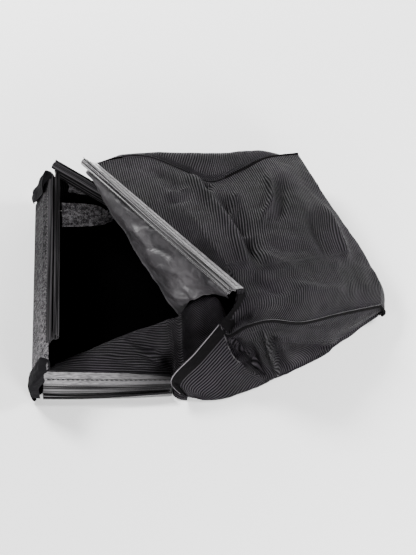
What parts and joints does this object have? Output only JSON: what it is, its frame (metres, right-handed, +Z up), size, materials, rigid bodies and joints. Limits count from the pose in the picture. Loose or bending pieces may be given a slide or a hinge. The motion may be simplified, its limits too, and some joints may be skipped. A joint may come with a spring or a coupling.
{
  "type": "mower grass collection bag",
  "caption": "Empty mower grass collection bag lying open on its base, with mesh sides and top, a pebbled vinyl base, a satin lining and plastic clip channels round its mouth.",
  "frame": {"origin": "on the ground, under the centre of the bag's box", "axes": "+X from the open mouth to the closed rear, +Y from the near side to the far side, +Z up"},
  "size_m": [0.6524, 0.5178, 0.2035],
  "materials": {
    "mesh_cloth": "black ribbed mesh cloth with fine holes",
    "vinyl": "pebbled grey-black vinyl-coated cloth, half gloss",
    "satin": "thin dark grey coated satin cloth, soft sheen",
    "channel_plastic": "glossy black soft plastic",
    "tape": "matt black binding tape",
    "thread": "black thread"
  },
  "bodies": {
    "root": {"base_panel": "vinyl", "near_side_panel": "mesh_cloth", "far_side_panel": "mesh_cloth", "top_panel": "mesh_cloth", "near_corner_gusset": "satin", "far_corner_gusset": "satin", "lining": "satin", "inner_vinyl_fold": "vinyl", "inner_corner_patch": "vinyl", "near_hem_tape": "tape", "far_hem_tape": "tape", "left_channel": "channel_plastic", "near_channel": "channel_plastic", "far_channel": "channel_plastic", "top_channel": "channel_plastic", "left_channel_stitching": "thread", "near_channel_stitching": "thread", "far_channel_stitching": "thread", "top_channel_stitching": "thread", "near_top_seam_binding": "tape", "far_top_seam_binding": "tape", "near_base_seam_binding": "tape", "far_base_seam_binding": "tape", "rear_seam_binding": "tape"}
  },
  "joints": []
}
